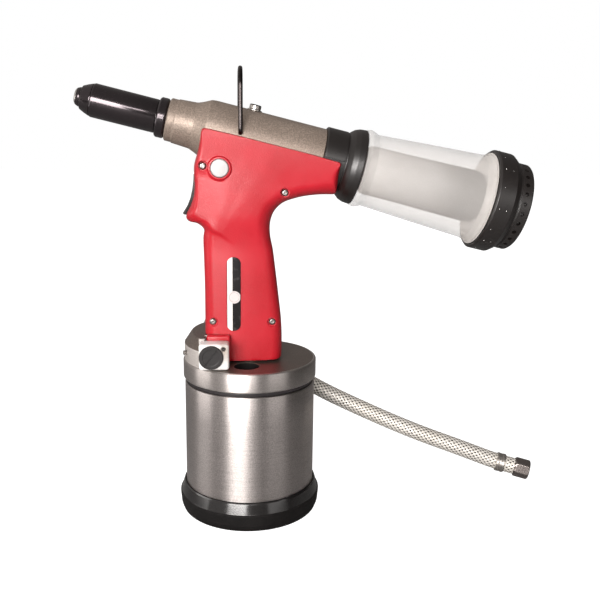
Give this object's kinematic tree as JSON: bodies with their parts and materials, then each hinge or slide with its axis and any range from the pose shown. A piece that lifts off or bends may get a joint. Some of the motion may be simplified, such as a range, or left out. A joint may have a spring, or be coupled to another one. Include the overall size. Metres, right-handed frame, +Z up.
{
  "type": "hydropneumatic rivet gun",
  "caption": "Pistol-grip hydropneumatic blind-rivet gun standing on its air cylinder, with pulling head, trigger, hanging hook, mandrel bottle and braided air hose.",
  "frame": {"origin": "centre of the rubber foot's underside, on the surface it stands on", "axes": "+Z up along the air cylinder, nose towards -X, mandrel bottle towards +X, button and label on the -Y side"},
  "size_m": [0.332, 0.1138, 0.3024],
  "materials": {
    "rubber_foot": "matt moulded rubber",
    "can_cylinder": "turned, fine circumferential lay",
    "base_plate": "turned",
    "cap_gasket": "black sealing band",
    "top_cap": "cast, turned on its rim",
    "cap_side_screw": "bright zinc",
    "exhaust_silencer": "sintered, sooty",
    "valve_block": "machined bright",
    "valve_plug": "slotted black plug",
    "valve_block_screw": "dark",
    "plunger_gland": "turned",
    "head_casting": "grey-brown shot-blasted casting, aluminium alloy",
    "nosepiece": "ground bright steel",
    "nose_sleeve": "black oxide, semi-gloss",
    "sleeve_lock_ring": "black oxide",
    "rear_gland": "turned",
    "rear_collar": "black moulded adaptor",
    "oil_screw": "bright",
    "oil_screw_washer": "sealing washer",
    "near_shell": "red, fine grain",
    "far_shell": "red, fine grain",
    "shell_screw_1": "bright zinc",
    "shell_screw_2": "bright zinc",
    "shell_screw_3": "bright zinc",
    "shell_screw_4": "bright zinc",
    "label_plate": "plain black and white plate",
    "trigger_pin": "ground",
    "hose_elbow": "nickel plated",
    "air_hose": "braided cover under clear skin",
    "hose_crimp_ring": "plated",
    "hose_nut": "nickel plated, dull",
    "return_spring": "spring steel",
    "trigger": "blackened pressed lever",
    "pilot_stem": "ground",
    "valve_spool": "turned",
    "suction_button": "white",
    "draw_piston": "ground",
    "draw_piston_seal": "black",
    "jaw_case": "hardened, dark",
    "pusher_spring": "spring steel",
    "jaw_pusher": "turned",
    "jaw_1": "hardened, toothed",
    "jaw_2": "hardened, toothed",
    "jaw_3": "hardened, toothed",
    "air_piston": "turned",
    "air_piston_seal": "black",
    "plunger": "ground, hard chromed",
    "suspension_hook": "dark wire",
    "collector_bottle": "frosted translucent",
    "collector_liner": "grey insert",
    "collector_cap": "black, satin",
    "air_diffuser": "porous pad"
  },
  "bodies": {
    "tool": {"rubber_foot": "rubber_foot", "can_cylinder": "can_cylinder", "base_plate": "base_plate", "cap_gasket": "cap_gasket", "top_cap": "top_cap", "cap_side_screw": "cap_side_screw", "exhaust_silencer": "exhaust_silencer", "valve_block": "valve_block", "valve_plug": "valve_plug", "valve_block_screw": "valve_block_screw", "plunger_gland": "plunger_gland", "head_casting": "head_casting", "nosepiece": "nosepiece", "nose_sleeve": "nose_sleeve", "sleeve_lock_ring": "sleeve_lock_ring", "rear_gland": "rear_gland", "rear_collar": "rear_collar", "oil_screw": "oil_screw", "oil_screw_washer": "oil_screw_washer", "near_shell": "near_shell", "far_shell": "far_shell", "shell_screw_1": "shell_screw_1", "shell_screw_2": "shell_screw_2", "shell_screw_3": "shell_screw_3", "shell_screw_4": "shell_screw_4", "label_plate": "label_plate", "trigger_pin": "trigger_pin", "hose_elbow": "hose_elbow", "air_hose": "air_hose", "hose_crimp_ring": "hose_crimp_ring", "hose_nut": "hose_nut", "return_spring": "return_spring"},
    "trigger": {"trigger": "trigger"},
    "pilot_valve": {"pilot_stem": "pilot_stem"},
    "spool": {"valve_spool": "valve_spool"},
    "suction_valve": {"suction_button": "suction_button"},
    "draw_train": {"draw_piston": "draw_piston", "draw_piston_seal": "draw_piston_seal", "jaw_case": "jaw_case", "pusher_spring": "pusher_spring"},
    "pusher": {"jaw_pusher": "jaw_pusher"},
    "jaw_1": {"jaw_1": "jaw_1"},
    "jaw_2": {"jaw_2": "jaw_2"},
    "jaw_3": {"jaw_3": "jaw_3"},
    "air_motor": {"air_piston": "air_piston", "air_piston_seal": "air_piston_seal", "plunger": "plunger"},
    "hook": {"suspension_hook": "suspension_hook"},
    "bottle": {"collector_bottle": "collector_bottle", "collector_liner": "collector_liner"},
    "bottle_cap": {"collector_cap": "collector_cap", "air_diffuser": "air_diffuser"}
  },
  "joints": [
    {"name": "trigger_pull", "type": "hinge", "parent": "tool", "child": "trigger", "pos_m": [-0.0326, 0, 0.2316], "axis": [0, -1, 0], "range_deg": [0, 9], "stiffness_Nm_per_rad": 0.25, "springref_deg": -8.59},
    {"name": "pilot_slide", "type": "slide", "parent": "tool", "child": "pilot_valve", "axis": [1, 0, 0], "range_m": [0, 0.0019]},
    {"name": "spool_shift", "type": "slide", "parent": "tool", "child": "spool", "axis": [0, 1, 0], "range_m": [0, 0.0041]},
    {"name": "suction_push", "type": "slide", "parent": "tool", "child": "suction_valve", "axis": [0, 1, 0], "range_m": [0, 0.0035]},
    {"name": "piston_lift", "type": "slide", "parent": "tool", "child": "air_motor", "axis": [0, 0, 1], "range_m": [0, 0.0431]},
    {"name": "draw_stroke", "type": "slide", "parent": "tool", "child": "draw_train", "axis": [0.9733, 0, -0.2295], "range_m": [0, 0.0171], "stiffness_N_per_m": 300, "springref_m": -0.03, "deforming": ["return_spring"]},
    {"name": "pusher_creep", "type": "slide", "parent": "draw_train", "child": "pusher", "axis": [-0.9733, 0, 0.2295], "range_m": [0, 0.0011], "deforming": ["pusher_spring"]},
    {"name": "jaw_1_grip", "type": "slide", "parent": "draw_train", "child": "jaw_1", "axis": [-0.9111, 0, 0.4122], "range_m": [0, 0.0011]},
    {"name": "jaw_2_grip", "type": "slide", "parent": "draw_train", "child": "jaw_2", "axis": [-0.9772, -0.1663, 0.1318], "range_m": [0, 0.0011]},
    {"name": "jaw_3_grip", "type": "slide", "parent": "draw_train", "child": "jaw_3", "axis": [-0.9772, 0.1663, 0.1318], "range_m": [0, 0.0011]},
    {"name": "hook_swing", "type": "hinge", "parent": "tool", "child": "hook", "pos_m": [-0.0066, 0, 0.2609], "axis": [0, 1, 0], "range_deg": [-45, 65]},
    {"name": "bottle_twist", "type": "hinge", "parent": "tool", "child": "bottle", "pos_m": [0.0725, 0, 0.23918], "axis": [0.9733, 0, -0.2295], "range_deg": [0, 60]},
    {"name": "bottle_cap_twist", "type": "hinge", "parent": "bottle", "child": "bottle_cap", "pos_m": [0.15815, 0, 0.21898], "axis": [0.9733, 0, -0.2295], "range_deg": [0, 90]}
  ],
  "couplings": [
    {"joint": "pilot_slide", "follows": "trigger_pull", "m_per_rad": 0.0116},
    {"joint": "spool_shift", "follows": "trigger_pull", "m_per_rad": 0.02546},
    {"joint": "draw_stroke", "follows": "piston_lift", "ratio": 0.3944},
    {"joint": "pusher_creep", "follows": "piston_lift", "ratio": 0.0232},
    {"joint": "jaw_1_grip", "follows": "piston_lift", "ratio": 0.0237},
    {"joint": "jaw_2_grip", "follows": "piston_lift", "ratio": 0.0237},
    {"joint": "jaw_3_grip", "follows": "piston_lift", "ratio": 0.0237}
  ]
}
